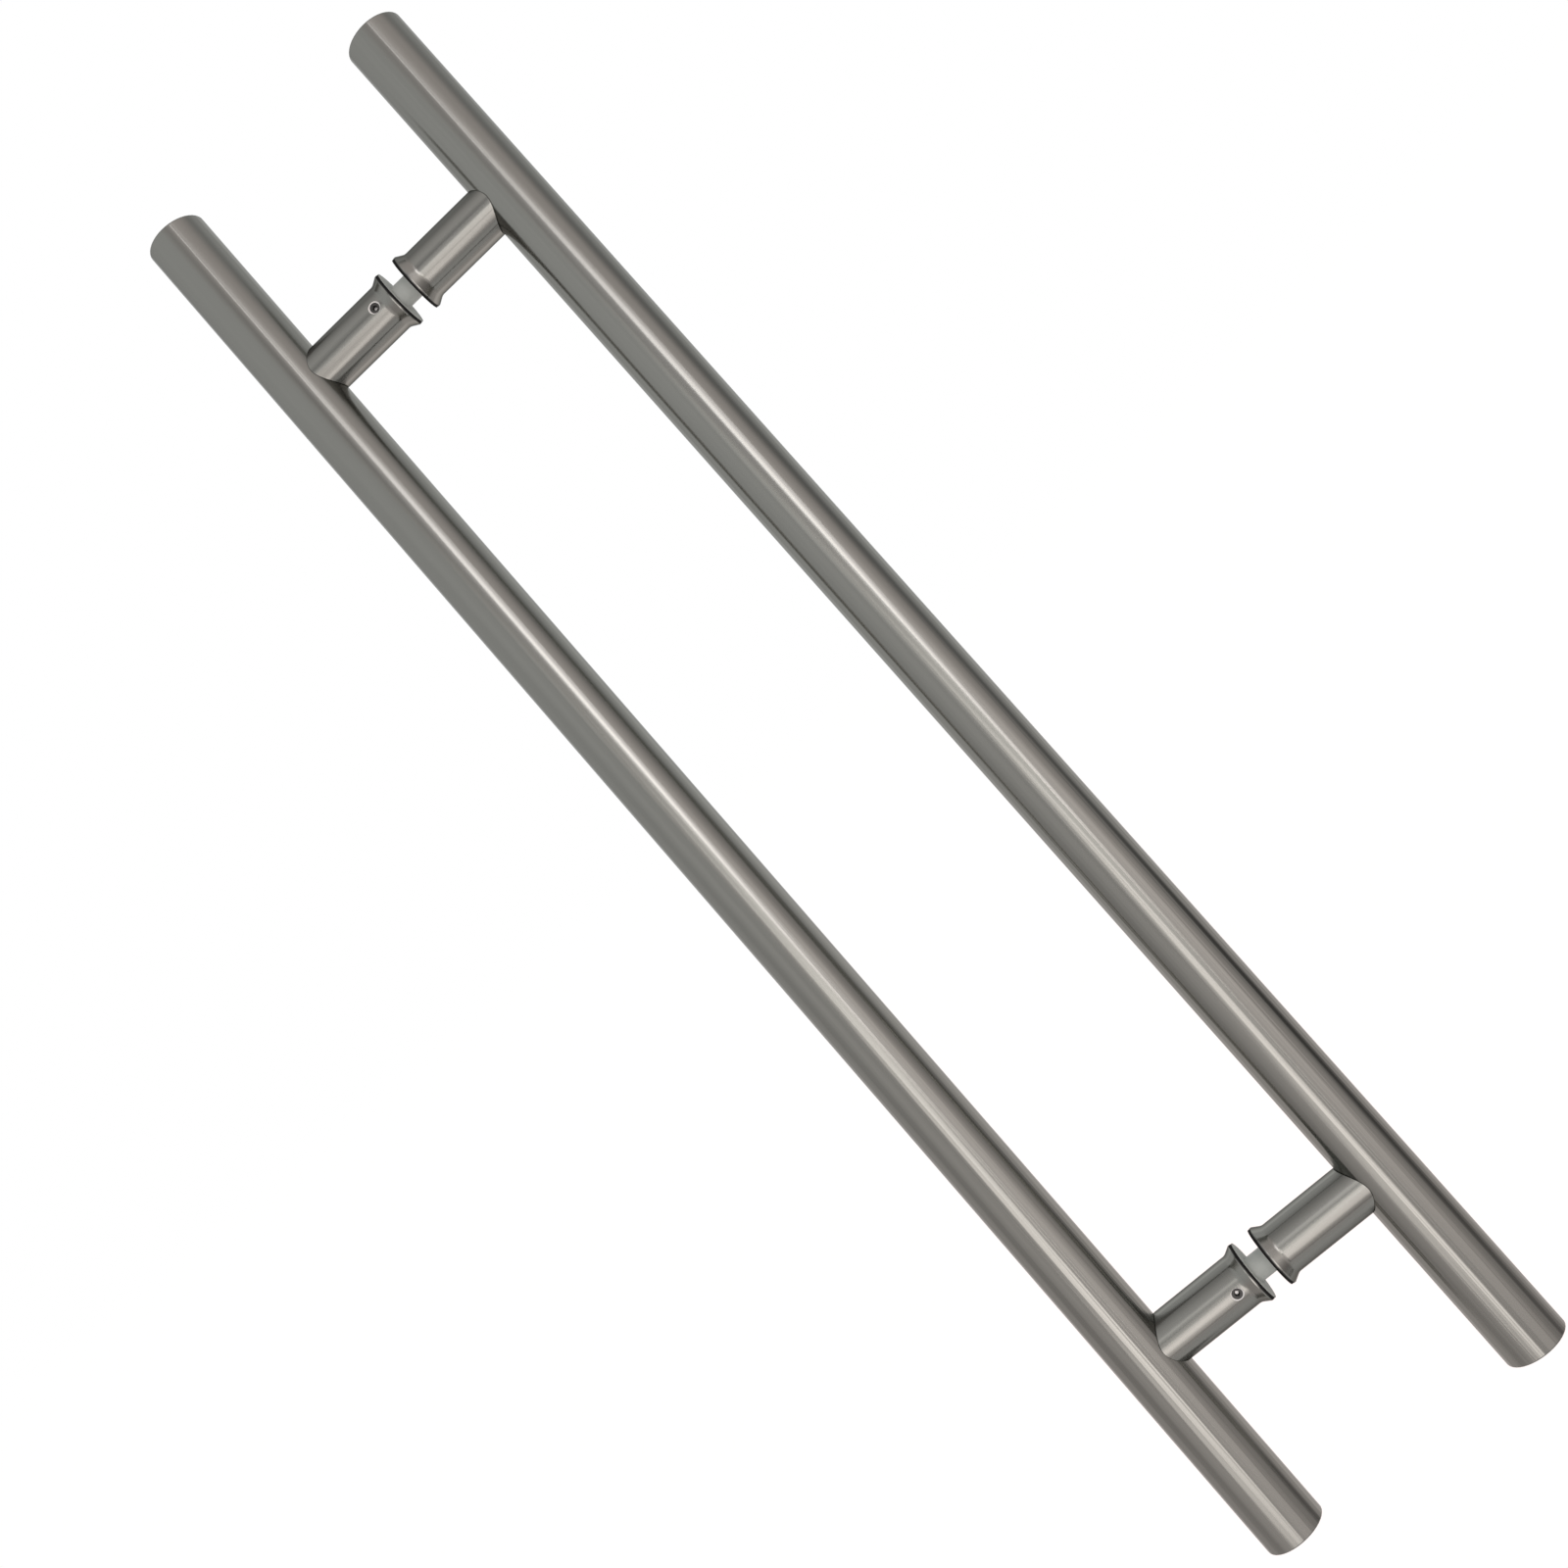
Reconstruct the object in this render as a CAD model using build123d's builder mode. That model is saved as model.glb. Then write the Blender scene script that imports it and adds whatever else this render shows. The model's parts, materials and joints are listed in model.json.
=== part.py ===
from build123d import *
import os

# T-bar pull handles: a pair fixed back to back through a glass door.
# The bars stand along Z, the posts run along Y and the door lies in the XZ plane.
# The origin is in the middle of the door, halfway between the two fixings.

# Door and fixings
door_thickness = 9.5
fixing_setback = 101.6  # bar end to fixing

# Grip bars: round tube with a closed, flat end
bar_length = 812.8
bar_diameter = 31.75
bar_wall = 1.5
bar_edge_round = 0.8
bar_standoff = 64.3  # door face to bar axis
cap_thickness = 3.0
cap_edge_break = 0.15

# Posts: turned, with a trumpet foot and a saddle cut to the bar
post_diameter = 25.4
rim_diameter = 30.0
rim_land = 1.0
flare_length = 4.15
flare_blend = 4.0  # radius between flare and shank
saddle_edge_break = 0.35
socket_diameter = 16.0
screw_hole_clearance = 0.3

# Foot washers and door sleeves
washer_thickness = 1.1
washer_setback = 0.2  # washer edge inside the rim
sleeve_diameter = 12.7
sleeve_clearance = 0.1
stud_clearance = 0.1

# Connecting studs, with a bush in each front post and a grooved spigot in each rear post
stud_diameter = 8.0
stud_chamfer = 0.8
stud_setback = 2.0  # stud end inside the bush
thread_clearance = 0.05
bush_length = 20.0
bush_chamfer = 0.5
spigot_clearance = 0.1
groove_depth = 1.5

# Grub screws, one through the side of each rear post
grub_height = 10.2  # foot face to screw axis
grub_diameter = 5.0
grub_recess = 0.9
grub_point_radius = 0.5
grub_point_clearance = 0.02
grub_socket_flats = 2.5
grub_socket_depth = 2.0
grub_hole_countersink = 0.8

# Cap screws that pull each post onto its bar, and the nuts inside the bar
screw_diameter = 6.0
screw_head_diameter = 10.0
screw_head_height = 6.0
screw_head_chamfer = 0.4
screw_socket_flats = 5.0
screw_socket_depth = 3.0
screw_stickout = 1.0
driver_room = 4.0  # free length between bush and screw head
nut_diameter = 14.0
nut_thickness = 6.5

# Places that follow from the sizes, as distances from the middle of the door
fixing_centres = bar_length - 2 * fixing_setback
bar_radius = bar_diameter / 2
bar_bore_radius = bar_radius - bar_wall
post_radius = post_diameter / 2
rim_radius = rim_diameter / 2
socket_radius = socket_diameter / 2
spigot_radius = socket_radius - spigot_clearance
groove_radius = spigot_radius - groove_depth
screw_hole_radius = screw_diameter / 2 + screw_hole_clearance
door_face = door_thickness / 2
foot_face = door_face + washer_thickness
rim_top = foot_face + rim_land
flare_top = rim_top + flare_length
bar_axis = door_face + bar_standoff
bush_end = foot_face + bush_length
stud_end = bush_end - stud_setback
head_top = bush_end + driver_room
screw_seat = head_top + screw_head_height
nut_crest = bar_axis - bar_bore_radius
nut_end = nut_crest + nut_thickness
grub_axis = foot_face + grub_height
grub_outer = post_radius - grub_recess

sides = {"front": -1, "rear": 1}
levels = {"upper": fixing_centres / 2, "lower": -fixing_centres / 2}
posts = [(name, side, height, level) for name, side in sides.items() for height, level in levels.items()]


def across(side, level, distance):
    # plane square to a post, facing away from the door
    return Plane(origin=(0, side * distance, level), x_dir=(1, 0, 0), z_dir=(0, side, 0))


def along(side, level):
    # plane through a post's axis: local x is the radius, local y the distance from the door's middle
    return Plane(origin=(0, 0, level), x_dir=(1, 0, 0), z_dir=(0, 0, side))


def post_line(side, level):
    return Axis((0, 0, level), (0, side, 0))


def grub_entry(level, distance):
    # plane square to a grub screw at a distance from the post's axis, facing into the post
    return Plane(origin=(-distance, grub_axis, level), z_dir=(1, 0, 0))


def keep(piece, name):
    piece.part.label = name
    export_step(piece.part, f"parts/{name}.step")


os.makedirs("parts", exist_ok=True)

# Grip bars and their end caps
for name, side in sides.items():
    with BuildPart() as bar:
        with BuildSketch(Plane(origin=(0, side * bar_axis, -bar_length / 2))):
            Circle(bar_radius)
            Circle(bar_bore_radius, mode=Mode.SUBTRACT)
        extrude(amount=bar_length)
        fillet(bar.edges().filter_by(GeomType.CIRCLE).sort_by(SortBy.RADIUS)[-2:], bar_edge_round)
        for level in levels.values():
            with BuildSketch(across(side, level, bar_axis - bar_radius)):
                Circle(screw_hole_radius)
            extrude(amount=bar_radius, mode=Mode.SUBTRACT)
    keep(bar, f"{name}_grip_bar")

    for height, end in (("upper", 1), ("lower", -1)):
        end_face = Plane(origin=(0, side * bar_axis, end * bar_length / 2), z_dir=(0, 0, -end))
        with BuildPart() as cap:
            with BuildSketch(end_face):
                Circle(bar_bore_radius)
            extrude(amount=cap_thickness)
            outer_edge = cap.edges().filter_by(GeomType.CIRCLE).sort_by_distance(end_face.origin)[0]
            chamfer(outer_edge, cap_edge_break)
        keep(cap, f"{name}_{height}_end_cap")

# Posts
for name, side, height, level in posts:
    with BuildPart() as post:
        with BuildSketch(along(side, level)):
            with BuildLine():
                Polyline((post_radius, bar_axis), (0, bar_axis), (0, foot_face), (rim_radius, foot_face))
                Line((rim_radius, foot_face), (rim_radius, rim_top))
                FilletPolyline(
                    (rim_radius, rim_top), (post_radius, flare_top), (post_radius, bar_axis), radius=flare_blend
                )
            make_face()
        revolve(axis=post_line(side, level))
        # saddle that sits on the bar
        with BuildSketch(Plane(origin=(0, side * bar_axis, level - post_diameter))):
            Circle(bar_radius)
        extrude(amount=2 * post_diameter, mode=Mode.SUBTRACT)
        saddle = post.faces().sort_by(post_line(side, level))[-1]
        chamfer(saddle.edges(), saddle_edge_break)
        # socket for the bush or spigot, then the hole for the cap screw
        with BuildSketch(across(side, level, foot_face)):
            Circle(socket_radius)
        extrude(amount=screw_seat - foot_face, mode=Mode.SUBTRACT)
        with BuildSketch(across(side, level, screw_seat)):
            Circle(screw_hole_radius)
        extrude(amount=bar_axis - screw_seat, mode=Mode.SUBTRACT)
        if name == "rear":
            with BuildSketch(grub_entry(level, post_radius)):
                Circle(grub_diameter / 2 + thread_clearance)
            extrude(amount=post_radius, mode=Mode.SUBTRACT)
            with BuildSketch(grub_entry(level, post_radius)):
                Circle(grub_diameter / 2 + grub_hole_countersink)
            extrude(amount=grub_hole_countersink, taper=45, mode=Mode.SUBTRACT)
    keep(post, f"{name}_{height}_post")

    with BuildPart() as washer:
        with BuildSketch(across(side, level, door_face)):
            Circle(rim_radius - washer_setback)
            Circle(sleeve_diameter / 2 + sleeve_clearance, mode=Mode.SUBTRACT)
        extrude(amount=washer_thickness)
    keep(washer, f"{name}_{height}_foot_washer")

# Studs, sleeves, bushes and spigots of the two fixings
for height, level in levels.items():
    stud_radius = stud_diameter / 2
    thread_radius = stud_radius + thread_clearance
    with BuildPart() as stud:
        with BuildSketch(along(sides["rear"], level)):
            with Locations((stud_radius / 2, 0)):
                Rectangle(stud_radius, 2 * stud_end)
        revolve(axis=post_line(sides["rear"], level))
        chamfer(stud.edges().filter_by(GeomType.CIRCLE), stud_chamfer)
    keep(stud, f"{height}_connecting_stud")

    with BuildPart() as sleeve:
        with BuildSketch(across(sides["rear"], level, 0)):
            Circle(sleeve_diameter / 2)
            Circle(stud_radius + stud_clearance, mode=Mode.SUBTRACT)
        extrude(amount=foot_face, both=True)
    keep(sleeve, f"{height}_door_sleeve")

    with BuildPart() as bush:
        with BuildSketch(across(sides["front"], level, foot_face)):
            Circle(socket_radius)
            Circle(thread_radius, mode=Mode.SUBTRACT)
        extrude(amount=bush_length)
        inner_end = bush.faces().sort_by(Axis.Y)[0]
        chamfer(inner_end.edges(), bush_chamfer)
    keep(bush, f"front_{height}_threaded_bush")

    with BuildPart() as spigot:
        with BuildSketch(along(sides["rear"], level)):
            with BuildLine():
                Polyline(
                    (thread_radius, foot_face),
                    (spigot_radius, foot_face),
                    (spigot_radius, grub_axis - groove_depth),
                    (groove_radius, grub_axis),
                    (spigot_radius, grub_axis + groove_depth),
                    (spigot_radius, bush_end - bush_chamfer),
                    (spigot_radius - bush_chamfer, bush_end),
                    (thread_radius, bush_end),
                    close=True,
                )
            make_face()
        revolve(axis=post_line(sides["rear"], level))
    keep(spigot, f"rear_{height}_grooved_spigot")

# Grub screws: cone points that press into the spigots' grooves
with BuildPart() as grub_screws:
    grub_radius = grub_diameter / 2
    tip = groove_radius + grub_point_radius + grub_point_clearance
    for level in levels.values():
        with BuildSketch(Plane(origin=(0, grub_axis, level), x_dir=(0, 0, 1), z_dir=(0, -1, 0))):
            with BuildLine():
                Polyline(
                    (0, tip),
                    (grub_point_radius, tip),
                    (grub_radius, tip + grub_radius - grub_point_radius),
                    (grub_radius, grub_outer),
                    (0, grub_outer),
                    close=True,
                )
            make_face()
        revolve(axis=Axis((0, grub_axis, level), (-1, 0, 0)))
        with BuildSketch(grub_entry(level, grub_outer)):
            RegularPolygon(grub_socket_flats / 2, 6, major_radius=False)
        extrude(amount=grub_socket_depth, mode=Mode.SUBTRACT)
keep(grub_screws, "grub_screws")

# Cap screws: heads inside the posts, tips through the nuts
with BuildPart() as post_screws:
    head_radius = screw_head_diameter / 2
    screw_radius = screw_diameter / 2
    screw_tip = nut_end + screw_stickout
    for name, side, height, level in posts:
        with BuildSketch(along(side, level)):
            with BuildLine():
                Polyline(
                    (0, head_top),
                    (head_radius - screw_head_chamfer, head_top),
                    (head_radius, head_top + screw_head_chamfer),
                    (head_radius, screw_seat),
                    (screw_radius, screw_seat),
                    (screw_radius, screw_tip),
                    (0, screw_tip),
                    close=True,
                )
            make_face()
        revolve(axis=post_line(side, level))
        with BuildSketch(across(side, level, head_top)):
            RegularPolygon(screw_socket_flats / 2, 6, major_radius=False)
        extrude(amount=screw_socket_depth, mode=Mode.SUBTRACT)
keep(post_screws, "post_screws")

# Nuts with a crest shaped to the inside of the bar
with BuildPart() as bar_nuts:
    for name, side, height, level in posts:
        with BuildSketch(across(side, level, nut_crest)):
            Circle(nut_diameter / 2)
            Circle(screw_radius + thread_clearance, mode=Mode.SUBTRACT)
        extrude(amount=nut_thickness)
        with BuildSketch(Plane(origin=(0, side * bar_axis, level - nut_diameter))):
            Circle(bar_diameter)
            Circle(bar_bore_radius, mode=Mode.SUBTRACT)
        extrude(amount=2 * nut_diameter, mode=Mode.SUBTRACT)
keep(bar_nuts, "bar_nuts")
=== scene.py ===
import bpy
import json
from math import cos, pi, radians, sin
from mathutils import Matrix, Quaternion, Vector

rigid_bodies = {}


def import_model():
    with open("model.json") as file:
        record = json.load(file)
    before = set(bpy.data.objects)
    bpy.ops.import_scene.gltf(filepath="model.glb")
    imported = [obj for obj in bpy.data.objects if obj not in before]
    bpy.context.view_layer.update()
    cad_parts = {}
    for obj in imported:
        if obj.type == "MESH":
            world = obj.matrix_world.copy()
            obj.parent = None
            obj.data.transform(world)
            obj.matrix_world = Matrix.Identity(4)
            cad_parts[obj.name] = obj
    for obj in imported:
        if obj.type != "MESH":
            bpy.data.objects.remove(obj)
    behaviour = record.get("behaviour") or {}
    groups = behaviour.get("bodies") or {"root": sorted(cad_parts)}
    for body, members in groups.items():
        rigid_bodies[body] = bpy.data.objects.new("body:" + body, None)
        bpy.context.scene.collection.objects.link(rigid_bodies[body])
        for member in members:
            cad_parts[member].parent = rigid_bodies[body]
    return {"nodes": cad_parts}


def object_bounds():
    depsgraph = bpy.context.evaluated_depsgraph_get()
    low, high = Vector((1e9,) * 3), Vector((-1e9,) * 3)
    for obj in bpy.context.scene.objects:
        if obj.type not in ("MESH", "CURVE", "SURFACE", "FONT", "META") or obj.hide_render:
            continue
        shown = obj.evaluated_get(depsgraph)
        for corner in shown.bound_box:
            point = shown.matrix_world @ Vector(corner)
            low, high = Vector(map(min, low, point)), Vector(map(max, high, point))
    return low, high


for leftover in list(bpy.data.objects):
    bpy.data.objects.remove(leftover, do_unlink=True)

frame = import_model()
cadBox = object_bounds()
nodes = frame["nodes"]
print("frame loaded:", len(nodes), "nodes")

noiseSpan = (0.3, 0.7)  # where most of a noise texture's values lie
grainDetail = 2.0
speckDetail = 4.0


def newMaterial(name):
    mat = bpy.data.materials.new(name)
    mat.use_nodes = True
    return mat, mat.node_tree, mat.node_tree.nodes["Principled BSDF"]


def nodesWith(*words):
    return [name for name in nodes if any(word in name for word in words)]


def dress(names, mat):
    for name in names:
        for materialSlot in nodes[name].material_slots:
            materialSlot.material = mat


def objectPlace(tree):
    return tree.nodes.new("ShaderNodeTexCoord").outputs["Object"]


def noise(tree, stretch, scale, detail=grainDetail):
    mapping = tree.nodes.new("ShaderNodeMapping")
    mapping.inputs["Scale"].default_value = stretch
    texture = tree.nodes.new("ShaderNodeTexNoise")
    texture.inputs["Scale"].default_value = scale
    texture.inputs["Detail"].default_value = detail
    tree.links.new(objectPlace(tree), mapping.inputs["Vector"])
    tree.links.new(mapping.outputs["Vector"], texture.inputs["Vector"])
    return texture.outputs["Fac"]


def split(tree, vector):
    node = tree.nodes.new("ShaderNodeSeparateXYZ")
    tree.links.new(vector, node.inputs["Vector"])
    return node.outputs


def remap(tree, value, low, high, toLow, toHigh):
    node = tree.nodes.new("ShaderNodeMapRange")
    spans = {"From Min": low, "From Max": high, "To Min": toLow, "To Max": toHigh}
    for key, number in spans.items():
        node.inputs[key].default_value = number
    tree.links.new(value, node.inputs["Value"])
    return node.outputs["Result"]


def calc(tree, operation, first, second=None, third=None):
    node = tree.nodes.new("ShaderNodeMath")
    node.operation = operation
    for socket, value in zip(node.inputs, (first, second, third)):
        if isinstance(value, (int, float)):
            socket.default_value = value
        elif value is not None:
            tree.links.new(value, socket)
    return node.outputs["Value"]


def distance(tree, first, second):
    squares = calc(tree, "MULTIPLY_ADD", first, first, calc(tree, "MULTIPLY", second, second))
    return calc(tree, "SQRT", squares)


def twoTone(tree, value, dark, pale):
    mix = tree.nodes.new("ShaderNodeMix")
    mix.data_type = "RGBA"
    for key, tone in (("A", dark), ("B", pale)):
        if isinstance(tone, tuple):
            mix.inputs[key].default_value = (*tone, 1)
        else:
            tree.links.new(tone, mix.inputs[key])
    tree.links.new(value, mix.inputs["Factor"])
    return mix.outputs["Result"]


def baseColor(bsdf):
    return bsdf.inputs["Base Color"].links[0].from_socket


def offGlass(tree):
    return calc(tree, "ABSOLUTE", split(tree, objectPlace(tree))["Y"])  # from the glass's middle


def bumpFrom(tree, bsdf, height, depth, strength=None):
    bump = tree.nodes.new("ShaderNodeBump")
    bump.inputs["Distance"].default_value = depth
    if strength is not None:
        tree.links.new(strength, bump.inputs["Strength"])
    tree.links.new(height, bump.inputs["Height"])
    tree.links.new(bump.outputs["Normal"], bsdf.inputs["Normal"])


satin = {
    "dark": (0.290, 0.2915, 0.271),
    "pale": (0.306, 0.3075, 0.286),
    "roughness": (0.188, 0.202),
    "stretch": 0.914,  # blur along the tube against blur round it
    "turn": 0.25,
}


def satinSteel(name, axis, edgeTint, grain, tone):
    mat, tree, bsdf = newMaterial(name)
    grainSocket, toneSocket = grain(tree), tone(tree)
    shade = remap(tree, toneSocket, *noiseSpan, 0, 1)
    tree.links.new(twoTone(tree, shade, satin["dark"], satin["pale"]), bsdf.inputs["Base Color"])
    roughness = remap(tree, grainSocket, *noiseSpan, *satin["roughness"])
    tree.links.new(roughness, bsdf.inputs["Roughness"])
    bsdf.inputs["Metallic"].default_value = 1.0
    bsdf.inputs["Specular Tint"].default_value = (edgeTint, edgeTint, edgeTint, 1)
    bsdf.inputs["Anisotropic"].default_value = satin["stretch"]
    bsdf.inputs["Anisotropic Rotation"].default_value = satin["turn"]
    tangent = tree.nodes.new("ShaderNodeTangent")
    tangent.direction_type = "RADIAL"
    tangent.axis = axis
    tree.links.new(tangent.outputs["Tangent"], bsdf.inputs["Tangent"])
    return mat, tree, bsdf


barGrain = {"length": 250, "fine": 900, "broad": 330, "edgeTint": 0.6}  # tint: no white outline
drawMarks = {  # lengthwise lines from drawing, stronger in the lower half
    "length": 160, "lines": 520, "depth": 0.00015,
    "from": 0.05, "to": -0.15, "faint": 0.04, "detail": 1.0,
}
barStretch = (1, 1, 1 / barGrain["length"])
markStretch = (1, 1, 1 / drawMarks["length"])
barSteel, tree, bsdf = satinSteel(
    "barSteel", "Z", barGrain["edgeTint"],
    lambda tree: noise(tree, barStretch, barGrain["fine"]),
    lambda tree: noise(tree, barStretch, barGrain["broad"]),
)
height = split(tree, objectPlace(tree))["Z"]
markStrength = remap(tree, height, drawMarks["from"], drawMarks["to"], drawMarks["faint"], 1)
markLines = noise(tree, markStretch, drawMarks["lines"], drawMarks["detail"])
bumpFrom(tree, bsdf, markLines, drawMarks["depth"], markStrength)
dress(nodesWith("grip_bar"), barSteel)

postGrain = {
    "length": 60, "fine": 900, "broad": 330, "edgeTint": 0.3,
    "depth": 0.00004, "detail": 1.5,
}
postStretch = (1, 1 / postGrain["length"], 1)
postSteel, tree, bsdf = satinSteel(
    "postSteel", "Y", postGrain["edgeTint"],
    lambda tree: noise(tree, postStretch, postGrain["fine"]),
    lambda tree: noise(tree, postStretch, postGrain["broad"]),
)
postLines = noise(tree, postStretch, postGrain["broad"], postGrain["detail"])
bumpFrom(tree, bsdf, postLines, postGrain["depth"])

grubPlace = {"out": 0.01605, "level": 0.3048}  # axis of each grub screw


def grubOffset(tree):
    place = split(tree, objectPlace(tree))
    up = calc(tree, "SUBTRACT", calc(tree, "ABSOLUTE", place["Z"]), grubPlace["level"])
    out = calc(tree, "SUBTRACT", place["Y"], grubPlace["out"])
    return place["X"], up, distance(tree, up, out)


countersink = {  # fresh cut round each grub screw, brighter than the brushed steel; its near-white colour is partly a painted highlight
    "reach": (0.0035, 0.0037), "skin": (0.01262, 0.01266),
    "bright": (0.85, 0.84, 0.82), "metallic": 0.2,
}
depth, up, fromScrew = grubOffset(tree)
nearScrew = remap(tree, fromScrew, *countersink["reach"], 1, 0)
underSkin = remap(tree, distance(tree, depth, up), *countersink["skin"], 1, 0)
cutAndHighlight = calc(tree, "MULTIPLY", nearScrew, underSkin)
brushed = baseColor(bsdf)
# partly painted highlight: the countersink ring is near-white and barely metallic
tree.links.new(twoTone(tree, cutAndHighlight, brushed, countersink["bright"]), bsdf.inputs["Base Color"])
tree.links.new(remap(tree, cutAndHighlight, 0, 1, 1, countersink["metallic"]), bsdf.inputs["Metallic"])

seatShade = {"dark": (0.07, 0.07, 0.068), "edge": (0.00622, 0.00632)}  # painted shade beside the washer: a dark band on the foot's rim
paintedSeatShade = remap(tree, offGlass(tree), *seatShade["edge"], 1, 0)
unshadedSteel = baseColor(bsdf)
# painted shade: the rim's edge next to the washer is darkened
tree.links.new(twoTone(tree, paintedSeatShade, unshadedSteel, seatShade["dark"]), bsdf.inputs["Base Color"])
dress(nodesWith("_post"), postSteel)

capGrain = {"barAxis": 0.06905, "rings": 900, "distortion": 2.0, "edgeTint": 0.6}


def capRings(tree):
    mirror = tree.nodes.new("ShaderNodeVectorMath")
    mirror.operation = "ABSOLUTE"
    tree.links.new(objectPlace(tree), mirror.inputs[0])
    mapping = tree.nodes.new("ShaderNodeMapping")
    mapping.inputs["Location"].default_value = (0, -capGrain["barAxis"], 0)
    tree.links.new(mirror.outputs["Vector"], mapping.inputs["Vector"])
    rings = tree.nodes.new("ShaderNodeTexWave")
    rings.wave_type = "RINGS"
    rings.rings_direction = "Z"
    rings.inputs["Scale"].default_value = capGrain["rings"]
    rings.inputs["Distortion"].default_value = capGrain["distortion"]
    tree.links.new(mapping.outputs["Vector"], rings.inputs["Vector"])
    return rings.outputs["Fac"]


capSteel = satinSteel("capSteel", "Z", capGrain["edgeTint"], capRings, capRings)[0]
dress(nodesWith("end_cap"), capSteel)
print("steel done")


def speckled(tree, look):
    return noise(tree, (1, 1, 1), look["speck"], speckDetail)


def plainLook(name, look):
    mat, tree, bsdf = newMaterial(name)
    speck = speckled(tree, look)
    tree.links.new(twoTone(tree, speck, look["dark"], look["pale"]), bsdf.inputs["Base Color"])
    tree.links.new(remap(tree, speck, *noiseSpan, *look["roughness"]), bsdf.inputs["Roughness"])
    bsdf.inputs["Metallic"].default_value = look["metallic"]
    return mat, tree, bsdf


nylon = {
    "dark": (0.423, 0.447, 0.423), "pale": (0.476, 0.500, 0.476),
    "roughness": (0.5, 0.6), "metallic": 0.0, "speck": 900,
}
sleeveNylon = plainLook("sleeveNylon", nylon)[0]
dress(nodesWith("door_sleeve"), sleeveNylon)

rubber = {
    "dark": (0.006, 0.006, 0.006), "pale": (0.016, 0.016, 0.015),
    "roughness": (0.65, 0.8), "metallic": 0.0, "speck": 1200, "gloss": 0.08,
    "face": (0.00478, 0.00482),  # where the grey facing ends
}
washerRubber, tree, bsdf = plainLook("washerRubber", rubber)
edge = remap(tree, offGlass(tree), *rubber["face"], 0, 1)
black = baseColor(bsdf)
grey = twoTone(tree, speckled(tree, nylon), nylon["dark"], nylon["pale"])
tree.links.new(twoTone(tree, edge, grey, black), bsdf.inputs["Base Color"])
bsdf.inputs["Specular IOR Level"].default_value = rubber["gloss"]
dress(nodesWith("foot_washer"), washerRubber)

grub = {
    "dark": (0.015, 0.015, 0.015), "pale": (0.11, 0.108, 0.105),
    "roughness": (0.4, 0.55), "metallic": 0.6, "speck": 1300,
    "socketGlint": (0.9, 0.89, 0.87), "floor": (-0.0105, -0.0101), "glintReach": (0.0007, 0.0009),
}
grubSteel, tree, bsdf = plainLook("grubSteel", grub)
depth, up, fromScrew = grubOffset(tree)
onFloor = remap(tree, depth, *grub["floor"], 0, 1)
inMiddle = remap(tree, fromScrew, *grub["glintReach"], 1, 0)
socketGlint = calc(tree, "MULTIPLY", onFloor, inMiddle)  # painted glint: a pale spot on the socket's floor stands in for its reflection
blacked = baseColor(bsdf)
# painted reflection: pale spot in the middle of each socket's floor
tree.links.new(twoTone(tree, socketGlint, blacked, grub["socketGlint"]), bsdf.inputs["Base Color"])
dress(["grub_screws"], grubSteel)

blackOxide = {
    "dark": (0.02, 0.02, 0.02), "pale": (0.06, 0.058, 0.055),
    "roughness": (0.35, 0.45), "metallic": 1.0, "speck": 1500,
}
screwBlack = plainLook("screwBlack", blackOxide)[0]
dress(["post_screws"], screwBlack)

zinc = {
    "dark": (0.42, 0.42, 0.4), "pale": (0.55, 0.55, 0.53),
    "roughness": (0.27, 0.35), "metallic": 1.0, "speck": 700,
}
innerZinc = plainLook("innerZinc", zinc)[0]
dress(nodesWith("bush", "spigot", "stud", "bar_nuts"), innerZinc)
print("small pieces done")

floorSetup = {
    "drop": 0.7, "radius": 0.85, "corners": 96, "fade": (0.3, 0.84),
    "color": (0.82, 0.82, 0.82), "roughness": 0.9,
}
bpy.ops.object.select_all(action="DESELECT")
bpy.ops.mesh.primitive_circle_add(
    vertices=floorSetup["corners"], radius=floorSetup["radius"], fill_type="NGON",
    location=(0, 0, cadBox[0][2] - floorSetup["drop"]),
)
floor = bpy.context.object
floor.name = "studioFloor"
mat, tree, bsdf = newMaterial("floorPale")
bsdf.inputs["Base Color"].default_value = (*floorSetup["color"], 1)
bsdf.inputs["Roughness"].default_value = floorSetup["roughness"]
fromMiddle = tree.nodes.new("ShaderNodeVectorMath")
fromMiddle.operation = "LENGTH"
tree.links.new(objectPlace(tree), fromMiddle.inputs[0])
fade = remap(tree, fromMiddle.outputs["Value"], *floorSetup["fade"], 1, 0)
tree.links.new(fade, bsdf.inputs["Alpha"])  # no hard rim
floor.data.materials.append(mat)
print("floor done")


def toward(turn, rise):
    turn, rise = radians(turn), radians(rise)
    return (-cos(turn) * cos(rise), sin(turn) * cos(rise), sin(rise))


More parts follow.
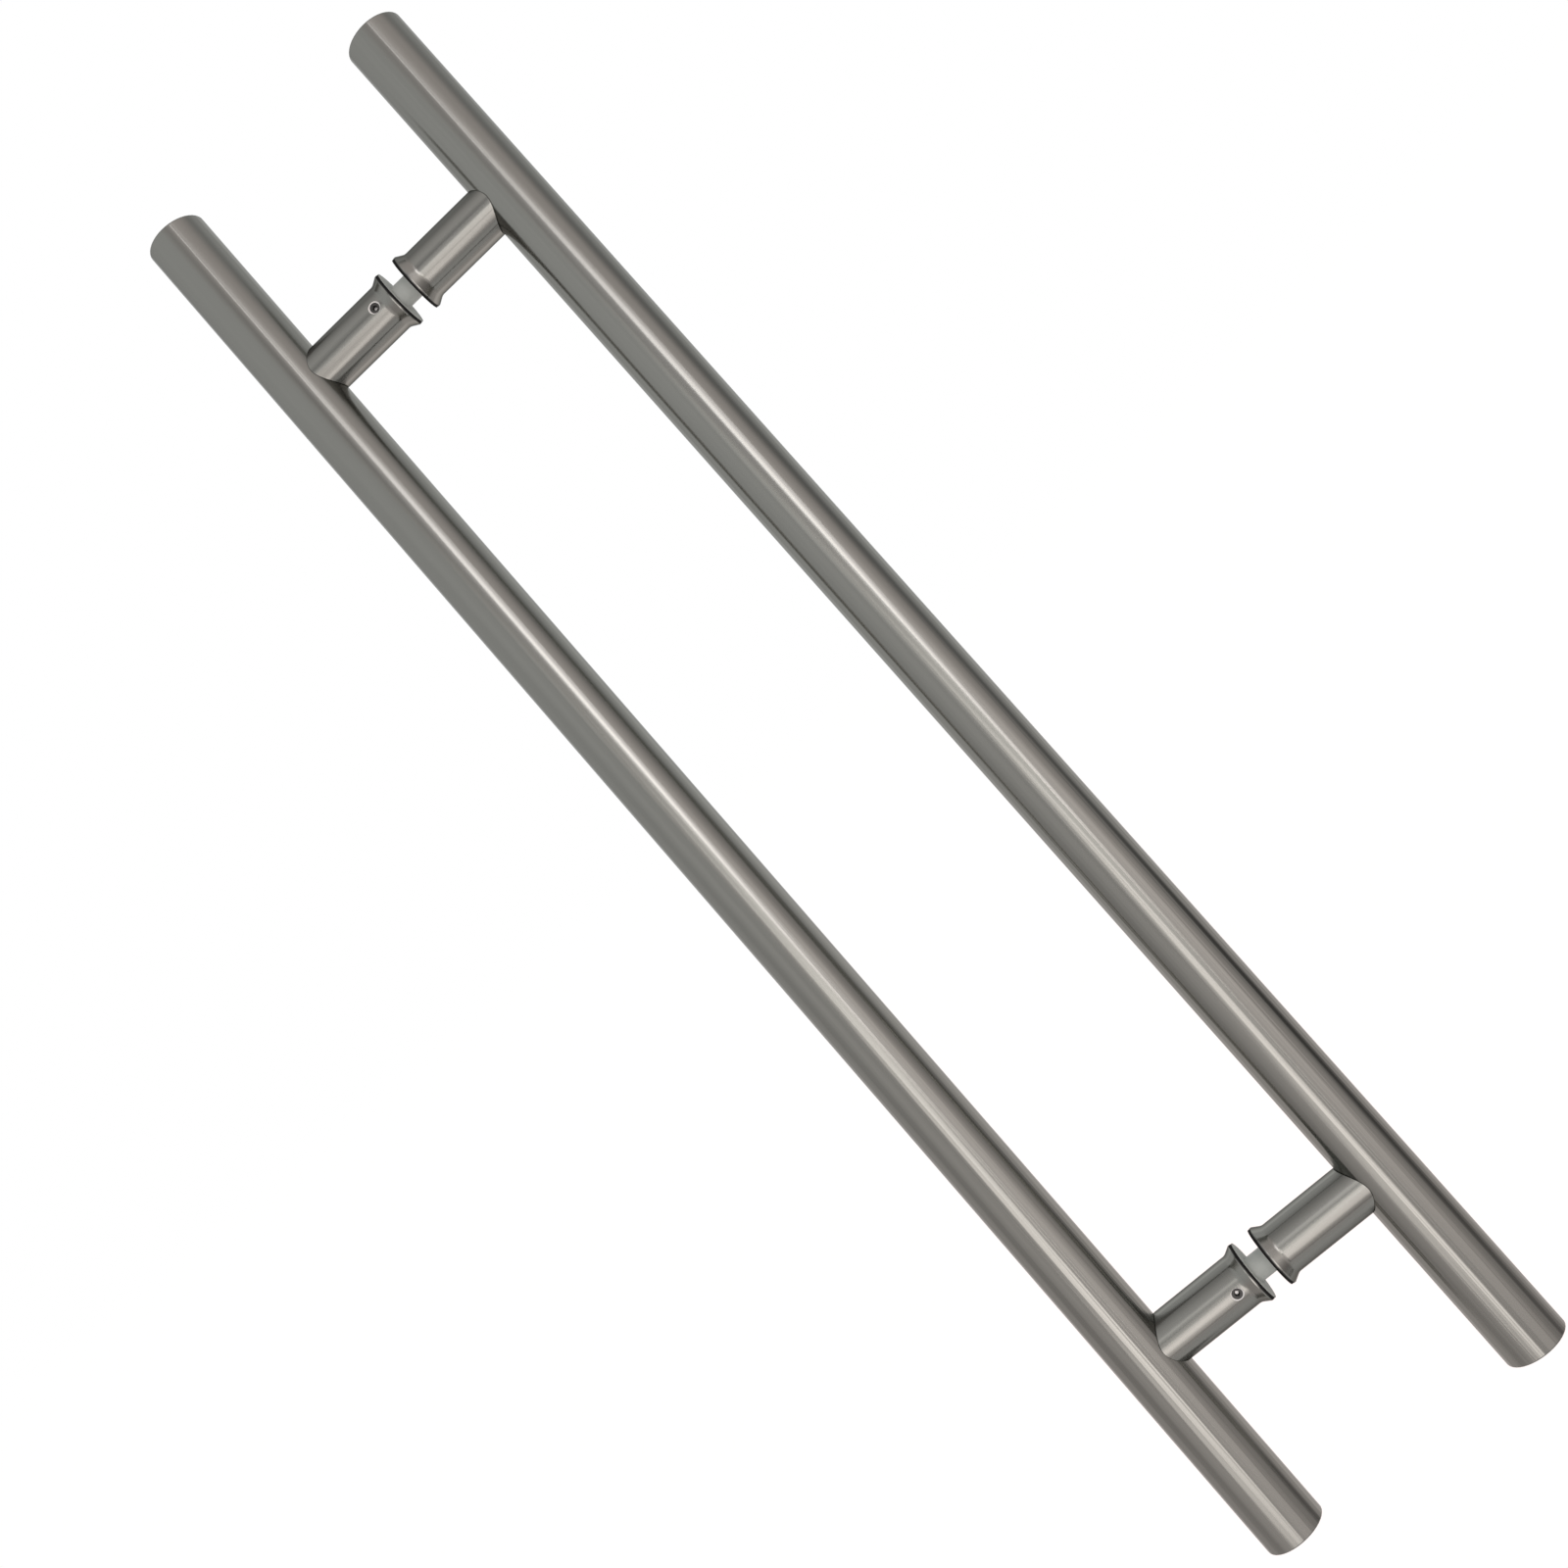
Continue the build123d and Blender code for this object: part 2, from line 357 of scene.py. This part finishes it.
room = {
    "pale": 0.716, "least": 0.03,
    "white": (0.6, 0.7), "whiteLevel": 1.0,  # white behind the part, a pale room elsewhere
    "neutral": (1.0, 1.0, 1.0), "warm": (1.11, 1.02, 1.0),
    "warmSide": {"Y": (0.3, -0.35), "X": (0.2, -0.3)},  # the lamps' side and the ground
    "warmGround": {"Z": (0.1, -0.25), "share": 0.9},
    "patches": {
        "softGlow": {"toward": (-44.8, -7.9), "tight": 33.0, "tone": 0.696},
        "darkGap": {"toward": (-99.1, -14.3), "tight": 44.3, "tone": -0.614},
        "darkWall": {"toward": (-92.9, 13.9), "tight": 15.8, "tone": -0.440},
        "darkCorner": {"toward": (80.5, -15.0), "tight": 13.8, "tone": -0.304},
        "ceiling": {"toward": (-10.0, 85.1), "tight": 9.0, "tone": -0.355},
        "ground": {"toward": (-37.0, -57.6), "tight": 4.2, "tone": -0.892},
        "lowGlow": {"toward": (-12.3, -44.3), "tight": 8.6, "tone": 1.032},
        "cameraShade": {"toward": (-4.9, 9.3), "tight": 30.5, "tone": -0.840},
        "darkFold": {"toward": (-4.6, -42.0), "tight": 36.1, "tone": -0.900},
        "darkLine": {"toward": (-11.8, -27.5), "tight": 296.2, "tone": -0.299},
        "darkDip": {"toward": (27.0, -10.0), "tight": 80.9, "tone": -0.223},
    },
}
world = bpy.data.worlds.new("studioRoom")
bpy.context.scene.world = world
world.use_nodes = True
tree = world.node_tree
background = tree.nodes["Background"]
direction = tree.nodes.new("ShaderNodeTexCoord").outputs["Generated"]
level = room["pale"]
for patch in room["patches"].values():
    dot = tree.nodes.new("ShaderNodeVectorMath")
    dot.operation = "DOT_PRODUCT"
    dot.inputs[1].default_value = toward(*patch["toward"])
    tree.links.new(direction, dot.inputs[0])
    fall = calc(tree, "MULTIPLY_ADD", dot.outputs["Value"], patch["tight"], -patch["tight"])
    level = calc(tree, "MULTIPLY_ADD", calc(tree, "EXPONENT", fall), patch["tone"], level)
level = calc(tree, "MAXIMUM", level, room["least"])
axes = split(tree, direction)
behind = remap(tree, axes["X"], *room["white"], 0, 1)
mix = tree.nodes.new("ShaderNodeMix")
mix.data_type = "FLOAT"
mix.inputs["B"].default_value = room["whiteLevel"]
tree.links.new(behind, mix.inputs["Factor"])
tree.links.new(level, mix.inputs["A"])
tree.links.new(mix.outputs["Result"], background.inputs["Strength"])
warmSide = calc(
    tree, "MULTIPLY",
    remap(tree, axes["Y"], *room["warmSide"]["Y"], 0, 1),
    remap(tree, axes["X"], *room["warmSide"]["X"], 0, 1),
)
warmGround = remap(tree, axes["Z"], *room["warmGround"]["Z"], 0, room["warmGround"]["share"])
warmth = calc(tree, "MAXIMUM", warmSide, warmGround)
tree.links.new(twoTone(tree, warmth, room["neutral"], room["warm"]), background.inputs["Color"])
print("room done")

lamps = {
    "stripTall": {
        "place": (-1.402, -0.787, 0.418), "size": (0.624, 0.786),
        "roll": -0.473, "radiance": 1.36, "color": (1, 0.97, 1.0),
    },
    "panelLow": {
        "place": (-0.740, 0.105, -0.398), "size": (0.211, 0.906),
        "roll": -0.793, "radiance": 0.92, "color": (1, 0.935, 0.915),
    },
    "panelNear": {
        "place": (-1.519, -0.231, -0.069), "size": (0.610, 0.625),
        "roll": 0.257, "radiance": 1.26, "color": (1, 0.965, 0.945),
    },
    "stripThin": {
        "place": (-1.022, -0.003, -0.605), "size": (0.223, 0.514),
        "roll": -0.469, "radiance": 0.72, "color": (1, 0.935, 0.915),
    },
    "stripSide": {
        "place": (-1.518, -0.590, 0.680), "size": (0.061, 1.663),
        "roll": 0.030, "radiance": 1.35, "color": (1, 0.97, 1.0),
    },
    "stripLow": {
        "place": (-1.261, 0.175, -0.598), "size": (0.286, 1.397),
        "roll": -0.138, "radiance": 0.62, "color": (1, 0.935, 0.915),
    },
    "stripMid": {
        "place": (-1.181, 0.124, 0.314), "size": (0.425, 0.452),
        "roll": -0.876, "radiance": 0.49, "color": (1, 0.965, 0.945),
    },
    "stripFine": {
        "place": (-1.528, -0.752, 0.136), "size": (0.244, 0.969),
        "roll": -0.203, "radiance": 1.22, "color": (1, 0.935, 0.915),
    },
    "stripNear": {
        "place": (-0.691, -0.291, -0.275), "size": (0.032, 0.420),
        "roll": -0.041, "radiance": 1.18, "color": (1, 0.935, 0.915),
    },
    "panelTop": {
        "place": (-1.151, -0.364, 0.608), "size": (0.730, 0.455),
        "roll": 0.556, "radiance": 0.47, "color": (1, 0.97, 1.0),
    },
    "lineCore": {
        "place": (-1.260, -0.593, 0.228), "size": (0.037, 0.757),
        "roll": 0.024, "radiance": 1.19, "color": (1, 0.97, 1.0),
    },
    "lowCore": {
        "place": (-0.569, 0.041, -0.479), "size": (0.062, 0.404),
        "roll": 0.021, "radiance": 0.38, "color": (1, 0.935, 0.915),
    },
}
for name, setup in lamps.items():
    lamp = bpy.data.lights.new(name, "AREA")
    lamp.shape = "RECTANGLE"
    lamp.size, lamp.size_y = setup["size"]
    lamp.color = setup["color"]
    lamp.energy = setup["radiance"] * pi * lamp.size * lamp.size_y
    lampObject = bpy.data.objects.new(name, lamp)
    bpy.context.collection.objects.link(lampObject)
    lampObject.location = setup["place"]
    aim = (-Vector(setup["place"])).to_track_quat("-Z", "Y")
    lampObject.rotation_euler = (aim @ Quaternion((0, 0, 1), setup["roll"])).to_euler()
    lampObject.visible_camera = False
print("lamps done")

cameraSetup = {
    "place": (-0.8, -0.08706, -0.05903), "aim": (0, 0.02018, 0.0045),
    "roll": -41.17, "lens": 39.39, "sensor": 36,
}
cameraData = bpy.data.cameras.new("photoCamera")
cameraData.lens = cameraSetup["lens"]
cameraData.sensor_width = cameraSetup["sensor"]
camera = bpy.data.objects.new("photoCamera", cameraData)
bpy.context.collection.objects.link(camera)
camera.location = cameraSetup["place"]
look = (Vector(cameraSetup["aim"]) - Vector(cameraSetup["place"])).to_track_quat("-Z", "Y")
camera.rotation_euler = (look @ Quaternion((0, 0, 1), radians(cameraSetup["roll"]))).to_euler()
bpy.context.scene.camera = camera
bpy.context.scene.view_settings.view_transform = "Standard"
print("camera done")
